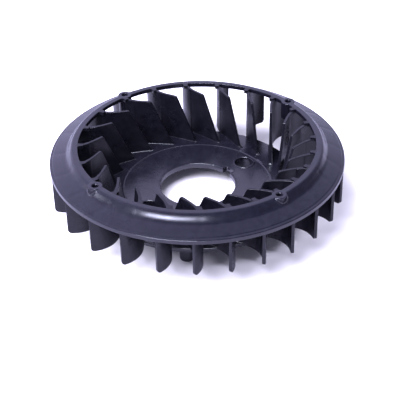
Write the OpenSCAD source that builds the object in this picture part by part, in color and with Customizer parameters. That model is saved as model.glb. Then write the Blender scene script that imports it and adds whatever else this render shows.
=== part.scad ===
// Cooling fan wheel that bolts onto the flywheel of a small engine.
// Millimetres. The origin is on the spin axis, in the plane of the hub's
// underside, and +Z points out of the air inlet.

/* [Shroud] */
// Outside diameter of the shroud ring
outer_d = 240; // [239:1:244]
// Height of the ring's outer top edge above the hub's underside
ring_z = 35; // [34:0.5:37]
// Height of the plain band around the ring
edge_h = 3.7; // [3:0.1:4.5]
// Width of the lip that carries the band
edge_w = 2.6; // [2:0.1:3]
// Height of the step from the lip to the sloping face
edge_step = 0.3; // [0.1:0.1:0.6]
// Slope of the ring's face, in degrees
ring_slope = 20.4; // [18:0.2:22]
// Wall thickness of the ring
wall = 2.6; // [2:0.1:3]

/* [Air inlet] */
// Inside radius of the inlet rim
rim_in_r = 96.6; // [96:0.1:97.5]
// Radius where the flat rim turns down into the flank
rim_out_r = 100.5; // [100:0.1:101]
// Height of the rim's top above the hub's underside
rim_top_z = 46.6; // [46:0.1:48]
// Thickness of the rim
rim_h = 3.5; // [3:0.1:4]
// Radius where the flank meets the sloping ring
flank_r = 107.5; // [107:0.1:109]

/* [Blades] */
// Number of blades
blade_count = 24; // [18:1:26]
// Thickness of a blade's curved outer part
blade_t = 2.6; // [2.4:0.1:2.8]
// Thickness of its straight inner part
blade_inner_t = 2.2; // [1.8:0.1:2.2]
// Angle of the first blade
blade_start = 8.4; // [0:0.1:15]
// Largest shift of a blade from even spacing, in degrees
spacing_swing = 8.9; // [0:0.1:9.4]
// Where around the wheel the spacing is widest, in degrees
spacing_phase = 62; // [0:0.2:360]
// Radius of the curve next to the straight inner part
inner_curve_r = 40; // [36:0.5:44]
// Radius of the tighter curve out to the tip
outer_curve_r = 22; // [20:0.5:24]
// Angle between the straight inner part and a radius, in degrees
sweep = 41.5; // [38:0.5:44]
// Radius at the blades' tips
tip_r = 119.4; // [119:0.1:119.4]
// Height of the blades' bottom edge
blade_bottom_z = 2; // [1:0.5:3]
// Height of the top edge of the inner part
blade_top_z = 45.4; // [43:0.1:46]

/* [Hub] */
// Outside radius of the hub plate
hub_r = 88; // [86:0.5:90]
// Thickness of the hub plate inside its ridge
hub_t = 4.6; // [4:0.1:5]
// Thickness of the hub plate at its outer edge
hub_edge_t = 3.4; // [3:0.1:3.8]
// Radius of the low round ridge on the hub plate
ridge_r = 61.9; // [61:0.1:63]
// Radius of the centre bore
bore_r = 31.2; // [30:0.1:33]
// Width of the locating notch in the bore
notch_w = 9; // [6:0.5:11]
// Radius that the locating notch reaches
notch_r = 36; // [34:0.5:38]

/* [Fixings] */
// Angle of the first screw boss, the notch and the first locating sleeve
index_angle = 38; // [36:0.5:40]
// Radius of the screw boss circle
boss_circle_r = 100; // [99:0.5:101]
// Outside diameter of a screw boss
boss_d = 11.6; // [10:0.2:12]
// Diameter of a screw boss's pilot hole
boss_hole_d = 5; // [4:0.1:6]
// Depth of a screw boss's pilot hole
boss_hole_depth = 12; // [8:0.5:13]
// Radius of the locating sleeves' circle
sleeve_circle_r = 50.6; // [48:0.1:51]
// Outside diameter of a locating sleeve
sleeve_d = 18.9; // [17:0.1:19]
// Inside diameter of a locating sleeve
sleeve_hole_d = 14.9; // [12:0.1:15]
// Radius of the drive pins' circle
pin_circle_r = 78.7; // [77:0.1:80]
// Diameter of a drive pin
pin_d = 11.6; // [10:0.2:12]
// Length of a drive pin below the hub
pin_len = 13; // [8:0.5:16]

/* [Hidden] */
$fn = 96;
boss_count = 4;
sleeve_count = 2;
pin_count = 4;
outer_r = outer_d / 2;
lip_in_r = outer_r - edge_w;
edge_bottom_z = ring_z - edge_h;
rim_bottom_z = rim_top_z - rim_h;
boss_bottom_z = edge_bottom_z;

function name_of(stem, i) = str(stem, "_", i < 10 ? "0" : "", i);

// Height of the ring's sloping face at radius r.
function slope_z(r) = ring_z + (outer_r - r) * tan(ring_slope);

// Height of the ring's underside at radius r.
function under_z(r) = slope_z(r) - wall / cos(ring_slope);

// Cubic curve through p[0] and p[3], pulled towards p[1] and p[2].
function curve(p, n) = [
    for (k = [0:n])
        let (t = k / n, u = 1 - t)
        u * u * u * p[0] + 3 * u * u * t * p[1] + 3 * u * t * t * p[2] + t * t * t * p[3]
];

// Points of a round corner, from angle a0 to angle a1.
function corner(centre, r, a0, a1, n = 6) = [
    for (k = [0:n])
        let (a = a0 + (a1 - a0) * k / n)
        centre + r * [cos(a), sin(a)]
];

// The flank's two faces, each from the sloping ring up to the rim.
inward = [-cos(ring_slope), sin(ring_slope)];
flank_low = [flank_r, slope_z(flank_r)];
flank_high = [rim_out_r, rim_top_z];
under_low = flank_low - wall * [sin(ring_slope), cos(ring_slope)];
under_high = [rim_out_r, rim_bottom_z];
flank_face = curve([flank_low, flank_low + 3.2 * inward, flank_high + [2.6, 0], flank_high], 10);
flank_under = curve([under_low, under_low + 2.6 * inward, under_high + [0.7, -3], under_high], 10);

// Blades: spacing, tab and rounded corners.
step = 360 / blade_count;
tab_in_r = 92;
tab_face_x = 92.4;
tab_h = 3;
tab_sides = [0.2, 3.4];
tab_foot_sides = [-0.3, 5.2];
inner_top_r = 78;
inner_foot_r = 68;
top_round = 2.5;
tip_round = 3;

// Angle of blade i. Uneven spacing keeps the fan from whistling at one pitch.
function blade_angle(i) =
    blade_start + (i - 1) * step - spacing_swing * sin((i - 1) * step + spacing_phase);

// Height of the hub's top at radius r, outside the ridge.
function hub_z(r) = hub_t - (r - ridge_r) * (hub_t - hub_edge_t) / (hub_r - ridge_r);

// A blade's outline from the side, as radius and height: the tab, the shroud's
// underside, the tip, the bottom, the hub's top and the leaning inner edge.
blade_section = concat(
    [[tab_in_r, rim_top_z], [rim_in_r, rim_top_z], [rim_in_r, rim_bottom_z]],
    [for (k = [10:-1:0]) flank_under[k]],
    [[lip_in_r, under_z(lip_in_r)], [lip_in_r, edge_bottom_z], [tip_r, edge_bottom_z]],
    corner([tip_r - tip_round, blade_bottom_z + tip_round], tip_round, 0, -90),
    [[hub_r, blade_bottom_z], [hub_r, hub_edge_t], [inner_foot_r, hub_z(inner_foot_r)]],
    corner([inner_top_r + top_round, blade_top_z - top_round], top_round, 166, 90),
    [[tab_in_r, blade_top_z]]
);

// A blade's two curves, in its own plan, where x is the radius. The outer one
// is level at curve_top, and the inner one takes over where it slopes by turn.
curve_top = [104.3, 2.8];
turn = 20;
outer_centre = curve_top - [0, outer_curve_r];
inner_centre = outer_centre + (inner_curve_r - outer_curve_r) * [sin(turn), -cos(turn)];
straight = 33;
past_tip = 50;

// Unit vector at angle a from the y axis.
function way(a) = [sin(a), cos(a)];

// A blade's centre line from its inner end: point, direction of its normal and
// half the thickness. It is straight, then follows the inner and the outer curve.
centre_line = concat(
    [for (k = [1:-1:0])
        let (at = inner_centre + inner_curve_r * way(-sweep))
        [at - k * straight * [cos(sweep), sin(sweep)], -sweep, blade_inner_t / 2]],
    [for (k = [1:10])
        let (a = -sweep + (sweep - turn) * k / 10)
        [inner_centre + inner_curve_r * way(a), a, blade_t / 2]],
    [for (k = [1:20])
        let (a = -turn + (turn + past_tip) * k / 20)
        [outer_centre + outer_curve_r * way(a), a, blade_t / 2]]
);

// Place a child at angle a on a circle of radius r.
module around(r, a) {
    rotate([0, 0, a]) translate([r, 0, 0]) children();
}

module plastic() {
    color([0.17, 0.17, 0.2]) children();
}

// A blade from above: its centre line with half its thickness on each side.
module blade_plan() {
    last = len(centre_line) - 1;
    polygon(concat(
        [for (p = centre_line) p[0] + p[2] * way(p[1])],
        [for (k = [last:-1:0]) centre_line[k][0] - centre_line[k][2] * way(centre_line[k][1])]
    ));
}

// The screw bosses as plain cylinders, which their neighbours are cut to fit.
module boss_space() {
    for (k = [0:boss_count - 1])
        around(boss_circle_r, index_angle + k * 360 / boss_count)
            translate([0, 0, boss_bottom_z])
            cylinder(h = rim_top_z - boss_bottom_z + 1, d = boss_d);
}

// The slab, and the tab that ties its hollow side's back to the rim, both cut to
// the outline.
module blade(i) {
    above = 1;
    plastic()
        difference() {
            intersection() {
                rotate([0, 0, blade_angle(i)]) {
                    linear_extrude(height = blade_top_z)
                        blade_plan();
                    translate([0, 0, rim_top_z - tab_h])
                        linear_extrude(height = tab_h + above)
                        polygon([
                            [tab_face_x, tab_sides[0]],
                            [rim_in_r + above, tab_foot_sides[0]],
                            [rim_in_r + above, tab_foot_sides[1]],
                            [tab_face_x, tab_sides[1]]
                        ]);
                }
                rotate_extrude() polygon(blade_section);
            }
            boss_space();
        }
}

module ring_edge() {
    plastic()
        rotate_extrude()
        polygon([
            [lip_in_r, edge_bottom_z],
            [outer_r, edge_bottom_z],
            [outer_r, ring_z],
            [lip_in_r, slope_z(lip_in_r) - edge_step]
        ]);
}

module shroud_ring() {
    plastic()
        rotate_extrude()
        polygon([
            [lip_in_r, under_z(lip_in_r)],
            [lip_in_r, slope_z(lip_in_r)],
            flank_low,
            under_low
        ]);
}

module shroud_flank() {
    plastic()
        difference() {
            rotate_extrude()
                polygon(concat(flank_face, [for (k = [10:-1:0]) flank_under[k]]));
            boss_space();
        }
}

module inlet_rim() {
    plastic()
        difference() {
            translate([0, 0, rim_bottom_z])
                difference() {
                    cylinder(h = rim_h, r = rim_out_r);
                    translate([0, 0, -1]) cylinder(h = rim_h + 2, r = rim_in_r);
                }
            boss_space();
        }
}

module hub_flange() {
    plastic()
        rotate_extrude()
        polygon([[ridge_r, 0], [hub_r, 0], [hub_r, hub_edge_t], [ridge_r, hub_t]]);
}

module hub_ridge() {
    half = 0.7;
    rise = 0.5;
    plastic()
        rotate_extrude()
        polygon([
            [ridge_r - half, hub_t],
            [ridge_r, hub_t],
            [ridge_r + half, hub_z(ridge_r + half)],
            [ridge_r + half / 2, hub_t + rise],
            [ridge_r - half / 2, hub_t + rise]
        ]);
}

module hub_disc() {
    plastic()
        difference() {
            cylinder(h = hub_t, r = ridge_r);
            translate([0, 0, -1]) cylinder(h = hub_t + 2, r = bore_r);
            rotate([0, 0, index_angle])
                translate([0, -notch_w / 2, -1])
                cube([notch_r, notch_w, hub_t + 2]);
            for (k = [0:sleeve_count - 1])
                around(sleeve_circle_r, index_angle + k * 180)
                    translate([0, 0, -1])
                    cylinder(h = hub_t + 2, d = sleeve_d);
        }
}

module screw_boss(i) {
    plastic()
        around(boss_circle_r, index_angle + (i - 1) * 360 / boss_count)
        difference() {
            translate([0, 0, boss_bottom_z])
                cylinder(h = rim_top_z - boss_bottom_z, d = boss_d);
            translate([0, 0, rim_top_z - boss_hole_depth])
                cylinder(h = boss_hole_depth + 1, d = boss_hole_d);
        }
}

// A sleeve runs through the hub plate and on below it.
module locating_sleeve(i) {
    below = 6;
    proud = 0.6;
    plastic()
        around(sleeve_circle_r, index_angle + (i - 1) * 180)
        translate([0, 0, -below])
        difference() {
            cylinder(h = below + hub_t + proud, d = sleeve_d);
            translate([0, 0, -1])
                cylinder(h = below + hub_t + proud + 2, d = sleeve_hole_d);
        }
}

// A pin stands on the hub's underside and has a rounded free end.
module drive_pin(i) {
    round_r = 2;
    plastic()
        around(pin_circle_r, index_angle + 45 + (i - 1) * 360 / pin_count)
        rotate_extrude()
        polygon(concat(
            [[0, 0], [0, -pin_len]],
            corner([pin_d / 2 - round_r, round_r - pin_len], round_r, -90, 0),
            [[pin_d / 2, 0]]
        ));
}

ring_edge();
shroud_ring();
shroud_flank();
inlet_rim();
hub_flange();
hub_ridge();
hub_disc();
for (i = [1:blade_count])
    blade(i);
for (i = [1:boss_count])
    screw_boss(i);
for (i = [1:sleeve_count])
    locating_sleeve(i);
for (i = [1:pin_count])
    drive_pin(i);
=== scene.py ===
"""Visual model of a moulded cooling fan wheel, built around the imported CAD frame.

Shapes are worked out in millimetres and turned into metres as each mesh is made.
"""
import math

import bmesh
import bpy
from mathutils import Matrix, Vector, noise


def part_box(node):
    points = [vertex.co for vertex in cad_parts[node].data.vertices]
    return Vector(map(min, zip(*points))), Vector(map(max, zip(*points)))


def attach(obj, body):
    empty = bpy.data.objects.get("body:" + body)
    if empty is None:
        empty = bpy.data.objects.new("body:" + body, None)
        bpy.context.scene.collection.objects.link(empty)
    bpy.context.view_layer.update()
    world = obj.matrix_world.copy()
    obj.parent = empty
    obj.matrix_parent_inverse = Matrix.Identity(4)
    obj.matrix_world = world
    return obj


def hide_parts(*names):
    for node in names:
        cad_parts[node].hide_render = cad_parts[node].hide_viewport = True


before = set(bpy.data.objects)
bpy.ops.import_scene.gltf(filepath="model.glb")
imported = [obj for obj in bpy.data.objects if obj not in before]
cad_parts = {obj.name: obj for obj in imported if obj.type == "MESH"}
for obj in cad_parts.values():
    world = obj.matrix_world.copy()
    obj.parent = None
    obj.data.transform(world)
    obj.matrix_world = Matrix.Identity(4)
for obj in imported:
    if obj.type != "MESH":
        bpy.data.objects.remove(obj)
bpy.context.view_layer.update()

MM = 0.001  # metres in a millimetre
INDEX_ANGLE = 38.0  # where the notch is, in degrees

# ---------------------------------------------------------------- CAD sizes


def span(node):
    """Outer radius, lowest and highest point of a round node, in millimetres."""
    low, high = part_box(node)
    return round(high.x / MM, 1), round(low.z / MM, 2), round(high.z / MM, 2)


def middle(node):
    """Centre of a node in plan, in millimetres."""
    low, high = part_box(node)
    return Vector(((low.x + high.x) / 2 / MM, (low.y + high.y) / 2 / MM))


def width(node):
    """Width of a node along X, in millimetres."""
    low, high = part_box(node)
    return round((high.x - low.x) / MM, 1)


OUTER_R, EDGE_LOW = span("ring_edge")[:2]
RIM_OUT_R, RIM_LOW, RIM_TOP = span("inlet_rim")
HUB_R, HUB_LOW, HUB_T = span("hub_flange")
RIDGE_R = span("hub_disc")[0]
FLOOR_Z = span("drive_pin_01")[1]

# Sizes that no box tells: they are those of the CAD source.
RING_Z = 35.0
EDGE_W = 2.6
EDGE_STEP = 0.3
RING_SLOPE = math.radians(20.4)
WALL = 2.6
RIM_IN_R = 96.6
FLANK_R = 107.5
HUB_EDGE_T = 3.4
BORE_R = 31.2
NOTCH_W = 9.0
NOTCH_R = 36.0
BOSSES = 4  # and as many drive pins
HOLE_D = 5.0
HOLE_DEPTH = 12.0
SLEEVES = 2
SLEEVE_HOLE_D = 14.9

BLADES = 24
BLADE_START = 8.4  # angle of the first blade, in degrees
SPACING_SWING = 8.9
SPACING_PHASE = 62
BLADE_T = 2.6
BLADE_INNER_T = 2.2
OUTER_CURVE_R = 22.0
INNER_CURVE_R = 40.0
CURVE_TOP = Vector((104.3, 2.8))  # the point of the outer curve that runs straight out
TURN = math.radians(20)  # direction where the two curves meet
SWEEP = math.radians(41.5)  # direction of the straight inner part
TIP_R = 119.4
BLADE_LOW = 2.0
BLADE_TOP = 45.4
INNER_TOP_R = 78.0
INNER_FOOT_R = 68.0
TAB_FACE_X = 92.4
TAB_H = 3.0

LIP_R = OUTER_R - EDGE_W

# Sizes of the visual model alone.
SHROUD_TOP = RIM_TOP - 0.05  # just under the tabs and the bosses
BOSS_FILLET = 1.3
SINK_DEPTH = 0.14  # sink marks over the blades
SINK_WIDTH = 2.4
SHROUD_WAVE = 0.05  # unevenness of the shroud's outer face
HUB_WAVE = 0.06
HUB_EDGE_ROUND = 0.5
BORE_LIP = 0.1  # how far the hub stands up round the bore
RECESS_FROM = 46.5  # the shallow recess beside the notch, in degrees
RECESS_TO = 66.0
RIDGE_RISE = 0.3
SUNK = 0.6  # how far a piece runs into its neighbour, so that no gap shows


def blade_angle(i):
    """Angle of blade i. The spacing swings round the wheel, as in the CAD."""
    step = 360 / BLADES * (i - 1)
    swing = SPACING_SWING * math.sin(math.radians(step + SPACING_PHASE))
    return math.radians(BLADE_START + step - swing)


def slope_z(r):
    """Height of the ring's sloping face at radius r."""
    return RING_Z + (OUTER_R - r) * math.tan(RING_SLOPE)


def under_z(r):
    """Height of the ring's underside at radius r."""
    return slope_z(r) - WALL / math.cos(RING_SLOPE)


def hub_z(r):
    """Height of the hub's top at radius r."""
    past = max(0.0, r - RIDGE_R) / (HUB_R - RIDGE_R)
    return HUB_T - past * (HUB_T - HUB_EDGE_T)


# ---------------------------------------------------------------- curves


def bezier(p, steps):
    """Cubic curve through p[0] and p[3]."""
    out = []
    for k in range(steps + 1):
        t = k / steps
        u = 1 - t
        out.append(p[0] * u**3 + p[1] * 3 * u * u * t + p[2] * 3 * u * t * t + p[3] * t**3)
    return out


def soften(points, radii, steps=4):
    """A closed outline with its corners rounded. A radius of 0 leaves a corner alone."""
    points = [Vector(p) for p in points]
    out = []
    for k, p in enumerate(points):
        back = points[k - 1] - p
        on = points[(k + 1) % len(points)] - p
        half = back.angle(on) / 2
        if radii[k] <= 0 or half > math.radians(88):
            out.append(p)
            continue
        cut = min(radii[k] / math.tan(half), 0.48 * back.length, 0.48 * on.length)
        r = cut * math.tan(half)
        back.normalize()
        on.normalize()
        centre = p + (back + on).normalized() * (r / math.sin(half))
        first = p + back * cut - centre
        last = p + on * cut - centre
        a0 = math.atan2(first.y, first.x)
        turn = (math.atan2(last.y, last.x) - a0 + math.pi) % math.tau - math.pi
        for j in range(steps + 1):
            a = a0 + turn * j / steps
            out.append(centre + Vector((math.cos(a), math.sin(a))) * r)
    return out


def divided(points, longest):
    """A closed outline with its long sides cut into equal lengths."""
    out = []
    for k, p in enumerate(points):
        q = points[(k + 1) % len(points)]
        cuts = max(1, math.ceil((q - p).length / longest))
        out += [p.lerp(q, j / cuts) for j in range(cuts)]
    return out


def fillet(height, r):
    """How far a fillet of radius r stands out, at a height above what it runs onto."""
    if height >= r:
        return 0.0
    return r - math.sqrt(r * r - (r - max(height, 0.0)) ** 2)


OUTER_CENTRE = CURVE_TOP - Vector((0, OUTER_CURVE_R))
INNER_CENTRE = OUTER_CENTRE + Vector(
    (math.sin(TURN), -math.cos(TURN))) * (INNER_CURVE_R - OUTER_CURVE_R)
INNER_LENGTH = INNER_CURVE_R * (SWEEP - TURN)


def in_plan(s):
    """A blade's centre line at distance s out from where its straight part ends.

    Returns the point and the left-hand normal, in the blade's own plan."""
    if s < INNER_LENGTH:
        centre, r = INNER_CENTRE, INNER_CURVE_R
        phi = max(0.0, s) / r - SWEEP
    else:
        centre, r = OUTER_CENTRE, OUTER_CURVE_R
        phi = (s - INNER_LENGTH) / r - TURN
    normal = Vector((math.sin(phi), math.cos(phi)))
    point = centre + normal * r
    if s < 0:
        point += Vector((math.cos(phi), -math.sin(phi))) * s
    return point, normal


def s_at(radius):
    """Distance along the centre line at which it crosses a radius, found by halving."""
    low = -60.0
    high = 40.0
    for _ in range(40):
        mid = (low + high) / 2
        if in_plan(mid)[0].length < radius:
            low = mid
        else:
            high = mid
    return low


# ---------------------------------------------------------------- meshes


def finish_piece(name, bm, material, nodes):
    """Makes a bmesh into a piece that rides on the part and replaces CAD nodes."""
    bmesh.ops.remove_doubles(bm, verts=bm.verts, dist=0.0005)
    bmesh.ops.recalc_face_normals(bm, faces=bm.faces)
    bm.transform(Matrix.Scale(MM, 4))
    for face in bm.faces:
        face.smooth = True
    mesh = bpy.data.meshes.new(name)
    bm.to_mesh(mesh)
    bm.free()
    mesh.materials.append(material)
    piece = bpy.data.objects.new(name, mesh)
    bpy.context.collection.objects.link(piece)
    weighted = piece.modifiers.new("even_normals", "WEIGHTED_NORMAL")
    weighted.weight = 60
    weighted.keep_sharp = True
    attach(piece, "root")
    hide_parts(*nodes)
    return piece


def lathe(outline, turns, centre=(0.0, 0.0), warp=None):
    """A closed outline of (radius, height) points turned about an upright axis.

    A point at radius 0 becomes one shared vertex. warp moves every other vertex."""
    bm = bmesh.new()
    rings = []
    poles = {}
    for k in range(turns):
        a = math.tau * k / turns
        ring = []
        for j, (r, z) in enumerate(outline):
            if r < 1e-4:
                if j not in poles:
                    poles[j] = bm.verts.new((centre[0], centre[1], z))
                ring.append(poles[j])
                continue
            at = Vector((centre[0] + r * math.cos(a), centre[1] + r * math.sin(a), z))
            ring.append(bm.verts.new(warp(at, j) if warp else at))
        rings.append(ring)
    count = len(outline)
    for k in range(turns):
        one, two = rings[k], rings[(k + 1) % turns]
        for j in range(count):
            n = (j + 1) % count
            corners = []
            for v in (one[j], two[j], two[n], one[n]):
                if v not in corners:
                    corners.append(v)
            if len(corners) > 2:
                bm.faces.new(corners)
    return bm


# ---------------------------------------------------------------- materials


def plastic(name, dark, light, rough, grain, mottle, gleam):
    """Satin black plastic: mottled colour, uneven gloss, fine grain and soft waviness.

    dark and light are the colour's two ends, and rough the roughness's. grain and mottle
    are the depths in metres of the fine and the broad unevenness, and gleam is the
    strength of the surface reflection."""
    mat = bpy.data.materials.new(name)
    mat.use_nodes = True
    nodes, links = mat.node_tree.nodes, mat.node_tree.links
    nodes.clear()

    def node(kind, **values):
        made = nodes.new(kind)
        for key, value in values.items():
            if key in made.inputs:
                made.inputs[key].default_value = value
            else:
                setattr(made, key, value)
        return made

    out = node("ShaderNodeOutputMaterial")
    shader = node("ShaderNodeBsdfPrincipled")
    shader.inputs["IOR"].default_value = 1.5
    shader.inputs["Specular IOR Level"].default_value = gleam
    links.new(shader.outputs["BSDF"], out.inputs["Surface"])
    place = node("ShaderNodeTexCoord")

    def cloud(scale, detail, roughness):
        made = node("ShaderNodeTexNoise", Scale=scale, Detail=detail, Roughness=roughness)
        links.new(place.outputs["Object"], made.inputs["Vector"])
        return made.outputs["Fac"]

    broad = cloud(55.0, 3.0, 0.55)
    patch = cloud(210.0, 4.0, 0.6)
    fine = cloud(2600.0, 2.0, 0.5)

    tint = node("ShaderNodeValToRGB")
    tint.color_ramp.elements[0].position = 0.32
    tint.color_ramp.elements[0].color = (*dark, 1.0)
    tint.color_ramp.elements[1].position = 0.72
    tint.color_ramp.elements[1].color = (*light, 1.0)
    links.new(patch, tint.inputs["Fac"])
    links.new(tint.outputs["Color"], shader.inputs["Base Color"])

    gloss = node("ShaderNodeMapRange")
    gloss.inputs["From Min"].default_value = 0.3
    gloss.inputs["From Max"].default_value = 0.7
    gloss.inputs["To Min"].default_value = rough[0]
    gloss.inputs["To Max"].default_value = rough[1]
    links.new(broad, gloss.inputs["Value"])
    links.new(gloss.outputs["Result"], shader.inputs["Roughness"])

    waves = node("ShaderNodeBump", Strength=1.0, Distance=mottle)
    links.new(broad, waves.inputs["Height"])
    spots = node("ShaderNodeBump", Strength=1.0, Distance=mottle / 5)
    links.new(patch, spots.inputs["Height"])
    links.new(waves.outputs["Normal"], spots.inputs["Normal"])
    grains = node("ShaderNodeBump", Strength=1.0, Distance=grain)
    links.new(fine, grains.inputs["Height"])
    links.new(spots.outputs["Normal"], grains.inputs["Normal"])
    links.new(grains.outputs["Normal"], shader.inputs["Normal"])
    return mat


shroud_mat = plastic(
    "shroud_plastic", dark=(0.004, 0.004, 0.009), light=(0.008, 0.008, 0.015),
    rough=(0.20, 0.28), grain=0.000010, mottle=0.00014, gleam=0.5)
blade_mat = plastic(
    "blade_plastic", dark=(0.003, 0.003, 0.006), light=(0.008, 0.008, 0.013),
    rough=(0.24, 0.38), grain=0.000014, mottle=0.00030, gleam=0.285)
hub_mat = plastic(
    "hub_plastic", dark=(0.004, 0.004, 0.008), light=(0.008, 0.008, 0.014),
    rough=(0.18, 0.30), grain=0.000008, mottle=0.00022, gleam=0.66)

# ---------------------------------------------------------------- shroud


def to_blade(x, y, a):
    """Distance in plan from a point to the outer curve of the blade at angle a."""
    p = Vector((x * math.cos(a) + y * math.sin(a), y * math.cos(a) - x * math.sin(a)))
    return abs((p - OUTER_CENTRE).length - OUTER_CURVE_R)


BLADE_ANGLES = [blade_angle(i) for i in range(1, BLADES + 1)]


def sink(x, y):
    """How deep the sink marks over the blades are at a point, from 0 to 1."""
    reach = 0.2  # radians, past which a blade's mark has faded
    a = math.atan2(y, x)
    depth = 0.0
    for mine in BLADE_ANGLES:
        off = (a - mine + math.pi) % math.tau - math.pi
        if abs(off) < reach:
            depth += math.exp(-((to_blade(x, y, mine) / SINK_WIDTH) ** 2))
    return depth


def flank_curves():
    """The flank's outer face, from the ring up to the rim, and its inner face back down."""
    across = Vector((math.sin(RING_SLOPE), math.cos(RING_SLOPE))) * WALL
    inward = Vector((-math.cos(RING_SLOPE), math.sin(RING_SLOPE)))
    low = Vector((FLANK_R, slope_z(FLANK_R)))
    high = Vector((RIM_OUT_R, SHROUD_TOP))
    under = low - across
    in_under = Vector((RIM_OUT_R, RIM_LOW))
    face = bezier([low, low + inward * 3.2, high + Vector((2.6, 0)), high], 16)
    back = bezier([in_under, in_under + Vector((0.7, -3)), under + inward * 2.6, under], 10)
    return face, back


FLANK_CURVE, FLANK_BACK = flank_curves()


def shroud():
    """The ring, its edge, the flank and the rim, turned as one wall."""
    outline = [
        ((LIP_R, EDGE_LOW), 0.4),
        ((OUTER_R, EDGE_LOW), 0.6),
        ((OUTER_R, RING_Z), 0.8),
        ((LIP_R + 0.3, slope_z(LIP_R + 0.3) - EDGE_STEP), 0.3),
        ((LIP_R - 0.2, slope_z(LIP_R - 0.2)), 0.5),
    ]
    outline += [(p, 0) for p in FLANK_CURVE]
    outline += [((RIM_IN_R, SHROUD_TOP), 0.45), ((RIM_IN_R, RIM_LOW), 0.4)]
    outline += [(p, 0) for p in FLANK_BACK]
    outline += [((LIP_R, under_z(LIP_R)), 0.8)]
    ring = soften([p for p, _ in outline], [r for _, r in outline])
    ring = divided(ring, 1.1)
    marked = []  # how much each point of the outline is marked, fading in from the rim
    for p in ring:
        above = p.y > slope_z(p.x) - 0.6 and RIM_OUT_R + 0.5 < p.x < OUTER_R - 0.8
        marked.append(min(1.0, (p.x - RIM_OUT_R) / 4) if above else 0.0)

    def warp(at, j):
        if marked[j] > 0:
            at.z -= SINK_DEPTH * marked[j] * sink(at.x, at.y)
            at.z += SHROUD_WAVE * marked[j] * noise.noise(at * 0.06)
        return at

    bm = lathe(ring, turns=960, warp=warp)
    piece = finish_piece(
        "shroud", bm, shroud_mat,
        ("ring_edge", "shroud_ring", "shroud_flank", "inlet_rim"))
    for k in range(1, BOSSES + 1):
        node = f"screw_boss_{k:02d}"
        r = width(node) / 2 - 0.7  # inside the boss, so that the two still overlap
        low = span(node)[1] + 1
        high = RIM_TOP + 2
        outline = [(0.0, low), (r, low), (r, high), (0.0, high)]
        bore_away(piece, lathe(outline, 64, middle(node)))


# ---------------------------------------------------------------- blades


def blade_outline():
    """A blade from the side: distance along it, and height."""
    corners = [
        ((INNER_FOOT_R, hub_z(INNER_FOOT_R)), 0),
        ((INNER_TOP_R, BLADE_TOP), 2.2),
        ((RIM_IN_R + SUNK, BLADE_TOP), 0),
        ((RIM_IN_R + SUNK, RIM_LOW + SUNK), 0),
    ]
    corners += [((p.x, p.y + SUNK), 0) for p in FLANK_BACK]
    corners += [
        ((LIP_R + SUNK, under_z(LIP_R + SUNK) + SUNK), 0),
        ((LIP_R + SUNK, EDGE_LOW + SUNK), 0),
        ((TIP_R, EDGE_LOW + SUNK), 0),
        ((TIP_R, BLADE_LOW), 3.0),
        ((HUB_R - SUNK, BLADE_LOW), 0),
        ((HUB_R - SUNK, hub_z(HUB_R) - SUNK), 0),
        ((INNER_FOOT_R - 0.2, hub_z(INNER_FOOT_R) - SUNK), 0),
    ]
    flat = [(s_at(p[0]), p[1]) for p, _ in corners]
    return soften(flat, [r for _, r in corners], 6)


def slab(outline, thickness, edge):
    """A plate of the outline's shape, with its edges rounded."""
    bm = bmesh.new()
    face = bm.faces.new([bm.verts.new((p.x, -thickness / 2, p.y)) for p in outline])
    made = bmesh.ops.extrude_face_region(bm, geom=[face])
    moved = [g for g in made["geom"] if isinstance(g, bmesh.types.BMVert)]
    bmesh.ops.translate(bm, verts=moved, vec=(0, thickness, 0))
    bmesh.ops.recalc_face_normals(bm, faces=bm.faces)
    rim = [e for e in bm.edges if abs(e.verts[0].co.y - e.verts[1].co.y) < 1e-6]
    bmesh.ops.bevel(
        bm, geom=rim, offset=edge, offset_type="OFFSET", segments=3,
        profile=0.5, affect="EDGES", clamp_overlap=True)
    return bm


def cut_at(bm, co, normal):
    """Adds a loop of edges where a plane passes."""
    geom = bm.verts[:] + bm.edges[:] + bm.faces[:]
    bmesh.ops.bisect_plane(bm, geom=geom, dist=1e-5, plane_co=co, plane_no=normal)


def bent_blade():
    """One blade, in its own plan."""
    edge_round = 0.55
    spacing = 2.0  # between the cuts that let the slab bend
    outline = blade_outline()
    bm = slab(outline, BLADE_T, edge_round)
    last = max(p.x for p in outline)
    s = min(p.x for p in outline) + spacing
    while s < last - 0.5:
        cut_at(bm, (s, 0, 0), (1, 0, 0))
        s += spacing
    # The thickness steps down at the hub's edge, between these two cuts.
    step_s = (s_at(HUB_R) - 0.35, s_at(HUB_R) + 0.35)
    for s in step_s:
        cut_at(bm, (s, 0, 0), (1, 0, 0))
    foot_s = s_at(INNER_FOOT_R)
    top_s = s_at(INNER_TOP_R)
    tilt = (hub_z(INNER_FOOT_R) - hub_z(HUB_R)) / (s_at(HUB_R) - foot_s)
    foot_r = 0.9  # fillet along the blade's two sides
    end_r = 2.2  # fillet in front of its inner edge
    for h in (0.0, 0.1, 0.25, 0.5, 0.9, 1.4, 2.2):
        cut_at(bm, (foot_s, 0, hub_z(INNER_FOOT_R) + h), (tilt, 0, 1))
    for v in bm.verts:
        s, n, z = v.co
        inner = min(1.0, max(0.0, (step_s[1] - s) / (step_s[1] - step_s[0])))
        n *= 1 - inner * (1 - BLADE_INNER_T / BLADE_T)
        radius = in_plan(s)[0].length
        if radius < HUB_R + 0.5:
            above = z - hub_z(radius)
            if abs(n) > 0.2:
                n += math.copysign(fillet(above, foot_r), n)
            lean = foot_s + (z - hub_z(INNER_FOOT_R)) * (top_s - foot_s) / (
                BLADE_TOP - hub_z(INNER_FOOT_R))
            s -= fillet(above, end_r) * max(0.0, 1 - (s - lean) / 2.5)
        at, normal = in_plan(s)
        v.co = Vector((at.x + normal.x * n, at.y + normal.y * n, z))
    tab(bm)
    return bm


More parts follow.
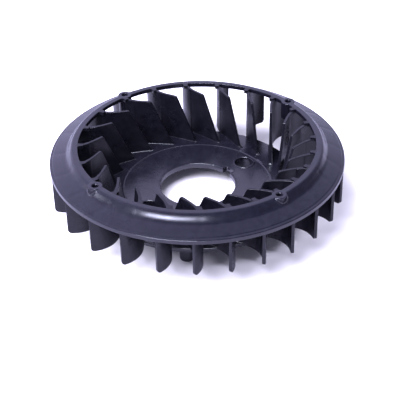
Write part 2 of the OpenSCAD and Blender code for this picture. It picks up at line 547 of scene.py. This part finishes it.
def tab(bm):
    """Adds the block that ties a blade's top to the rim, and widens as it gets there."""
    before = set(bm.verts)
    low = RIM_TOP - TAB_H
    flush = RIM_TOP - 0.04
    flare_from = TAB_FACE_X + 1.4
    flare_to = RIM_IN_R + 0.5
    # Each end is the distance out, the right side, the left side and the top.
    ends = [(TAB_FACE_X, 0.2, 3.4, flush)]
    for k in range(7):
        t = k / 6
        x = flare_from + (flare_to - flare_from) * t
        ends.append((x, 0.1 - 1.3 * t**3, 3.7 + 2.1 * t**3, flush))
    ends.append((RIM_IN_R + 1.6, -1.4, 6.0, RIM_TOP - 0.3))
    columns = []
    for x, right, left, top in ends:
        columns.append([bm.verts.new((x, y, z)) for y, z in (
            (right, low), (left, low), (left, top), (right, top))])
    for one, two in zip(columns, columns[1:]):
        for j in range(4):
            bm.faces.new((one[j], two[j], two[(j + 1) % 4], one[(j + 1) % 4]))
    bm.faces.new(columns[0])
    bm.faces.new(columns[-1][::-1])
    bm.normal_update()
    sharp_from = 0.6  # radians
    mine = [v for v in bm.verts if v not in before]
    edges = {e for v in mine for e in v.link_edges}
    for edge in edges:
        edge.smooth = edge.calc_face_angle(0.0) < sharp_from


def blades():
    """The blades, which are all one shape, at their uneven places."""
    pattern = bent_blade()
    for i, a in enumerate(BLADE_ANGLES, 1):
        bm = pattern.copy()
        bm.transform(Matrix.Rotation(a, 4, "Z"))
        finish_piece(
            f"vane_{i:02d}", bm, blade_mat, (f"blade_{i:02d}",))
    pattern.free()


# ---------------------------------------------------------------- bosses


def boss(k):
    """A screw boss that stands in the flank, with a fillet where it comes out."""
    node = f"screw_boss_{k:02d}"
    centre = middle(node)
    r = width(node) / 2
    hole = HOLE_D / 2
    low = span(node)[1]
    outline = [
        ((0.0, low), 0), ((r, low), 0.4), ((r, RIM_TOP), 0.55),
        ((hole + 0.5, RIM_TOP), 0.25), ((hole, RIM_TOP - 0.7), 0.3),
        ((hole, RIM_TOP - HOLE_DEPTH), 0.4), ((0.0, RIM_TOP - HOLE_DEPTH), 0)]
    ring = soften([p for p, _ in outline], [q for _, q in outline])
    ring = divided(ring, 0.35)

    below = 2.0  # how far under the flank's face the wall starts to widen

    def warp(at, j):
        """Moves a point of the outer wall out, to where the fillet's surface is."""
        out = at.xy - centre
        far = at.xy.length
        if out.length < r - 0.01 or far < RIM_OUT_R:
            return at
        rise = at.z - flank_z(far)
        if not -below < rise < 3.0:
            return at
        least = 0.0
        most = BOSS_FILLET
        for _ in range(12):
            grown = (least + most) / 2
            place = centre + out * (1 + grown / r)
            if fillet(at.z - flank_z(place.length), BOSS_FILLET) > grown:
                least = grown
            else:
                most = grown
        ease = min(1.0, (far - RIM_OUT_R) / 3) * min(1.0, (rise + below) / 0.8)
        at.xy = centre + out * (1 + ease * least / r)
        return at

    bm = lathe(ring, 120, centre, warp)
    finish_piece(f"boss_{k:02d}", bm, shroud_mat, (node,))


def flank_z(radius):
    """Height of the shroud's outer face at a radius."""
    if radius >= FLANK_R:
        return slope_z(radius)
    for one, two in zip(FLANK_CURVE, FLANK_CURVE[1:]):
        if two.x <= radius <= one.x:
            return one.y + (two.y - one.y) * (one.x - radius) / max(one.x - two.x, 1e-6)
    return RIM_TOP


# ---------------------------------------------------------------- hub


def bore_outline(stations):
    """The bore with its notch, as points and the directions into the plate."""
    half = math.asin(NOTCH_W / 2 / BORE_R)
    corners = []
    radii = []
    for k in range(stations + 1):
        a = half + (math.tau - 2 * half) * k / stations
        corners.append(Vector((math.cos(a), math.sin(a))) * BORE_R)
        radii.append(0.9 if k in (0, stations) else 0)
    corners += [Vector((NOTCH_R, -NOTCH_W / 2)), Vector((NOTCH_R, NOTCH_W / 2))]
    radii += [1.4, 1.4]
    points = soften(corners, radii, 7)
    points = divided(points, 0.9)
    turn = Matrix.Rotation(math.radians(INDEX_ANGLE), 2)
    points = [turn @ p for p in points]
    outs = []
    for k, p in enumerate(points):
        along = points[(k + 1) % len(points)] - points[k - 1]
        outs.append(Vector((along.y, -along.x)).normalized())
    return points, outs


def in_recess(p):
    """1 in the shallow recess in the bore's edge beside the notch, 0 outside it."""
    a = math.degrees(math.atan2(p.y, p.x))
    fade = 1.2  # degrees
    if p.length > BORE_R + 1:
        return 0.0
    return min(1.0, max(0.0, min(a - RECESS_FROM, RECESS_TO - a) / fade))


def hub():
    """The plate with its bore, notch, ridge, and holes for the sleeves.

    It is made of rings, all with the same number of points. They follow the bore and its
    notch near the wall, and turn gradually into plain circles."""
    points, outs = bore_outline(700)
    ways = [p.normalized() for p in points]
    near = 0.6  # depth up to which the rings follow the wall
    far = 38.8  # radius from which they are circles
    edge = HUB_EDGE_ROUND
    bm = bmesh.new()
    rings = []

    def offset_ring(depth, z, recess=0.0):
        """A ring at a depth in from the bore's and the notch's wall."""
        ring = []
        for p, o, w in zip(points, outs, ways):
            at = p + o * min(depth, near)
            if depth > near:
                at = at.lerp(w * far, (depth - near) / (far - BORE_R - near))
            ring.append(bm.verts.new((at.x, at.y, z - recess * in_recess(p))))
        rings.append(ring)

    def round_ring(r, z, uneven=True):
        """A circle, with the plate's slight unevenness if it is to have any."""
        ring = []
        for w in ways:
            p = w * r
            lift = 0.0
            if uneven:
                lift = HUB_WAVE * noise.noise(Vector((p.x, p.y, 0)) * 0.05)
            ring.append(bm.verts.new((p.x, p.y, z + lift)))
        rings.append(ring)

    # The top, from the bore's rounded edge out to the ridge.
    lip_z = HUB_T + BORE_LIP
    for j in range(5):
        a = math.pi / 2 * j / 4
        offset_ring(edge * (1 - math.cos(a)), lip_z - edge * (1 - math.sin(a)), 1.0)
    offset_ring(0.7, lip_z, 1.0)
    offset_ring(0.9, lip_z, 0.15)
    offset_ring(1.2, HUB_T + BORE_LIP * 0.3)
    for depth in (1.5, 2.6, 3.3, 4.2, 5.2, 6.3):
        offset_ring(depth, HUB_T)
    r = far
    while r < RIDGE_R - 1.2:
        round_ring(r, HUB_T)
        r += 0.9
    for k in range(11):
        t = -1 + k / 5
        shape = math.cos(t * math.pi / 2) ** 2
        round_ring(RIDGE_R + 1.2 * t, hub_z(RIDGE_R + t) + RIDGE_RISE * shape, False)
    # The top outside the ridge, the outer edge, and back along the underside.
    r = RIDGE_R + 2.5
    while r < HUB_R - 1.2:
        round_ring(r, hub_z(r))
        r += 1.8
    for j in range(5):
        a = math.pi / 2 * (1 - j / 4)
        round_ring(
            HUB_R - edge + edge * math.cos(a), HUB_EDGE_T - edge + edge * math.sin(a), False)
    for j in range(4):
        a = math.pi / 2 * j / 3
        round_ring(HUB_R - edge + edge * math.cos(a), HUB_LOW + edge - edge * math.sin(a), False)
    for r in (80.0, 70.0, 60.0, 50.0, far):
        round_ring(r, HUB_LOW, False)
    for j in range(4):
        a = math.pi / 2 * (1 - j / 3)
        offset_ring(edge * (1 - math.cos(a)), HUB_LOW + edge * (1 - math.sin(a)))
    count = len(points)
    for one, two in zip(rings, rings[1:] + rings[:1]):
        for k in range(count):
            n = (k + 1) % count
            bm.faces.new((one[k], one[n], two[n], two[k]))
    piece = finish_piece(
        "hub", bm, hub_mat, ("hub_flange", "hub_ridge", "hub_disc"))
    hole_r = SLEEVE_HOLE_D / 2 + 0.9  # inside the sleeve's wall
    low = HUB_LOW - 2
    high = HUB_T + 3.4
    for k in range(1, SLEEVES + 1):
        centre = middle(f"locating_sleeve_{k:02d}")
        tool = lathe([(0.0, low), (hole_r, low), (hole_r, high), (0.0, high)], 64, centre)
        bore_away(piece, tool)


def bore_away(piece, tool):
    """Cuts a closed tool shape out of a piece's mesh, and keeps only the result."""
    bmesh.ops.recalc_face_normals(tool, faces=tool.faces)
    tool.transform(Matrix.Scale(MM, 4))
    mesh = bpy.data.meshes.new("tool")
    tool.to_mesh(mesh)
    tool.free()
    cutter = bpy.data.objects.new("tool", mesh)
    bpy.context.collection.objects.link(cutter)
    cut = piece.modifiers.new("cut", "BOOLEAN")
    cut.operation = "DIFFERENCE"
    cut.solver = "EXACT"
    cut.object = cutter
    piece.modifiers.move(len(piece.modifiers) - 1, 0)
    weighted = piece.modifiers["even_normals"]
    weighted.show_viewport = False  # so that only the cut is in the mesh that is kept
    bpy.context.view_layer.update()
    graph = bpy.context.evaluated_depsgraph_get()
    result = bpy.data.meshes.new_from_object(piece.evaluated_get(graph))
    piece.modifiers.remove(cut)
    weighted.show_viewport = True
    piece.data = result
    bpy.data.objects.remove(cutter)


def sleeve(k):
    """A locating sleeve through the hub, with a rounded lip."""
    node = f"locating_sleeve_{k:02d}"
    r = width(node) / 2
    hole = SLEEVE_HOLE_D / 2
    low, high = span(node)[1:]
    outline = [
        ((hole, low), 0.5), ((r, low), 0.5), ((r, HUB_T - 0.4), 0), ((r, HUB_T), 0.3),
        ((r - 0.5, high), 0.5), ((hole, high), 0.6)]
    ring = soften([p for p, _ in outline], [q for _, q in outline])
    bm = lathe(divided(ring, 1.5), 96, middle(node))
    finish_piece(f"sleeve_{k:02d}", bm, hub_mat, (node,))


def pin(k):
    """A drive pin, with a fillet at the hub's underside."""
    node = f"drive_pin_{k:02d}"
    r = width(node) / 2
    low = span(node)[1]
    outline = [
        ((0.0, low), 0), ((r, low), 2.0), ((r, HUB_LOW - 0.8), 0.8),
        ((r + 0.8, HUB_LOW), 0), ((r + 0.8, HUB_LOW + SUNK), 0), ((0.0, HUB_LOW + SUNK), 0)]
    ring = soften([p for p, _ in outline], [q for _, q in outline], 6)
    bm = lathe(divided(ring, 2.0), 72, middle(node))
    finish_piece(f"pin_{k:02d}", bm, hub_mat, (node,))


shroud()
blades()
hub()
for number in range(1, BOSSES + 1):
    boss(number)
    pin(number)
for number in range(1, SLEEVES + 1):
    sleeve(number)

# ---------------------------------------------------------------- floor


def floor():
    """A plain white table top, clear when seen from below and darker in the part's gloss."""
    gap = 0.00005  # metres between the floor and the pins
    bm = bmesh.new()
    bmesh.ops.create_grid(bm, x_segments=8, y_segments=8, size=6.0)
    bmesh.ops.translate(bm, verts=bm.verts, vec=(0, 0, FLOOR_Z * MM - gap))
    mesh = bpy.data.meshes.new("floor")
    bm.to_mesh(mesh)
    bm.free()
    obj = bpy.data.objects.new("floor", mesh)
    bpy.context.collection.objects.link(obj)
    mat = bpy.data.materials.new("table_white")
    mat.use_nodes = True
    nodes, links = mat.node_tree.nodes, mat.node_tree.links
    shader = nodes["Principled BSDF"]
    shader.inputs["Roughness"].default_value = 0.9
    shader.inputs["Specular IOR Level"].default_value = 0.1
    cloud = nodes.new("ShaderNodeTexNoise")
    cloud.inputs["Scale"].default_value = 3.0
    ramp = nodes.new("ShaderNodeValToRGB")
    ramp.color_ramp.elements[0].color = (0.88, 0.87, 0.93, 1)
    ramp.color_ramp.elements[1].color = (0.90, 0.89, 0.95, 1)
    links.new(cloud.outputs["Fac"], ramp.inputs["Fac"])
    path = nodes.new("ShaderNodeLightPath")
    dim = nodes.new("ShaderNodeMix")
    dim.data_type = "RGBA"
    dim.inputs["B"].default_value = (0.54, 0.53, 0.68, 1)
    links.new(path.outputs["Is Glossy Ray"], dim.inputs["Factor"])
    links.new(ramp.outputs["Color"], dim.inputs["A"])
    links.new(dim.outputs["Result"], shader.inputs["Base Color"])
    below = nodes.new("ShaderNodeBsdfTransparent")
    side = nodes.new("ShaderNodeNewGeometry")
    mix = nodes.new("ShaderNodeMixShader")
    links.new(side.outputs["Backfacing"], mix.inputs["Fac"])
    links.new(shader.outputs["BSDF"], mix.inputs[1])
    links.new(below.outputs["BSDF"], mix.inputs[2])
    links.new(mix.outputs["Shader"], nodes["Material Output"].inputs["Surface"])
    mesh.materials.append(mat)


floor()

# ---------------------------------------------------------------- camera


def camera():
    """From in front and about 32 degrees up, aimed a little off the ring's centre."""
    lens = 103.9
    distance = 0.9438
    rise, pan, tilt, roll = (math.radians(a) for a in (32.394, 0.098, 2.33, 1.25))
    ahead = Vector((0, math.cos(rise), -math.sin(rise)))
    right = Vector((1, 0, 0))
    up = right.cross(ahead)
    place = Vector((0, 0, RING_Z * MM)) - ahead * distance
    ahead, right = (
        ahead * math.cos(pan) + right * math.sin(pan),
        right * math.cos(pan) - ahead * math.sin(pan))
    ahead, up = (
        ahead * math.cos(tilt) - up * math.sin(tilt),
        up * math.cos(tilt) + ahead * math.sin(tilt))
    right, up = (
        right * math.cos(roll) - up * math.sin(roll),
        right * math.sin(roll) + up * math.cos(roll))
    data = bpy.data.cameras.new("camera")
    data.lens = lens
    data.sensor_width = 36.0
    data.clip_end = 20.0
    obj = bpy.data.objects.new("camera", data)
    bpy.context.collection.objects.link(obj)
    turned = Matrix((right, up, -ahead)).transposed().to_4x4()
    turned.translation = place
    obj.matrix_world = turned
    bpy.context.scene.camera = obj


camera()

# ---------------------------------------------------------------- light


def softbox(name, azimuth, elevation, distance, size, power, colour):
    """A rectangular light, aimed at the part. Azimuth 0 is the camera's side, 90 its right."""
    a, e = math.radians(azimuth), math.radians(elevation)
    way = Vector((math.sin(a) * math.cos(e), -math.cos(a) * math.cos(e), math.sin(e)))
    data = bpy.data.lights.new(name, "AREA")
    data.shape = "RECTANGLE"
    data.size, data.size_y = size
    data.energy = power
    data.color = colour
    obj = bpy.data.objects.new(name, data)
    bpy.context.collection.objects.link(obj)
    obj.location = way * distance
    obj.rotation_euler = (-way).to_track_quat("-Z", "Y").to_euler()
    return obj


def only_on(light, names):
    """Lets a light reach only the named pieces."""
    lit = bpy.data.collections.new(light.name + "_reach")
    for name in names:
        lit.objects.link(bpy.data.objects[name])
    light.light_linking.receiver_collection = lit


def sky():
    """A pale surround: even light on dull surfaces, and a brighter back in the gloss."""
    world = bpy.data.worlds.new("surround")
    bpy.context.scene.world = world
    world.use_nodes = True
    nodes, links = world.node_tree.nodes, world.node_tree.links
    seen = nodes["Background"]
    place = nodes.new("ShaderNodeTexCoord")
    side = nodes.new("ShaderNodeVectorMath")
    side.operation = "DOT_PRODUCT"
    side.inputs[1].default_value = (-0.45, 0.85, 0.28)  # towards the back, a little left
    links.new(place.outputs["Generated"], side.inputs[0])
    ramp = nodes.new("ShaderNodeValToRGB")
    ramp.color_ramp.elements[0].position = 0.0
    ramp.color_ramp.elements[0].color = (0.16, 0.16, 0.26, 1)
    ramp.color_ramp.elements[1].position = 1.0
    ramp.color_ramp.elements[1].color = (1.28, 1.23, 1.90, 1)
    middle_tone = ramp.color_ramp.elements.new(0.5)
    middle_tone.color = (0.73, 0.72, 1.12, 1)
    links.new(side.outputs["Value"], ramp.inputs["Fac"])
    links.new(ramp.outputs["Color"], seen.inputs["Color"])
    even = nodes.new("ShaderNodeBackground")
    even.inputs["Color"].default_value = (1.0, 0.98, 1.28, 1)
    even.inputs["Strength"].default_value = 0.40
    path = nodes.new("ShaderNodeLightPath")
    mix = nodes.new("ShaderNodeMixShader")
    links.new(path.outputs["Is Glossy Ray"], mix.inputs["Fac"])
    links.new(even.outputs["Background"], mix.inputs[1])
    links.new(seen.outputs["Background"], mix.inputs[2])
    links.new(mix.outputs["Shader"], nodes["World Output"].inputs["Surface"])


SHELL = ["shroud", "boss_01", "boss_02", "boss_03", "boss_04"]
INSIDE = ["hub", "sleeve_01", "sleeve_02"] + [f"vane_{i:02d}" for i in range(1, BLADES + 1)]

sky()
# The key makes the shadow on the floor. The other three only show as reflections: at the
# ring's left, along the flank in front, and on the hub and the blades.
key = softbox(
    "key", azimuth=-58, elevation=60, distance=2.4, size=(2.2, 2.2), power=260,
    colour=(0.86, 0.85, 1.0))
key.visible_glossy = False
left = softbox(
    "left", azimuth=-88, elevation=12, distance=1.6, size=(0.5, 0.2), power=2.5,
    colour=(0.80, 0.80, 1.0))
left.visible_diffuse = False
only_on(left, SHELL)
front = softbox(
    "front", azimuth=-22, elevation=24, distance=2.4, size=(1.7, 0.40), power=170,
    colour=(0.74, 0.75, 1.0))
front.visible_diffuse = False
only_on(front, SHELL)
glints = softbox(
    "glints", azimuth=-20, elevation=76, distance=1.6, size=(0.8, 0.5), power=75,
    colour=(0.78, 0.80, 1.0))
glints.visible_diffuse = False
only_on(glints, INSIDE)

scene = bpy.context.scene
scene.view_settings.view_transform = "Standard"
scene.view_settings.look = "None"
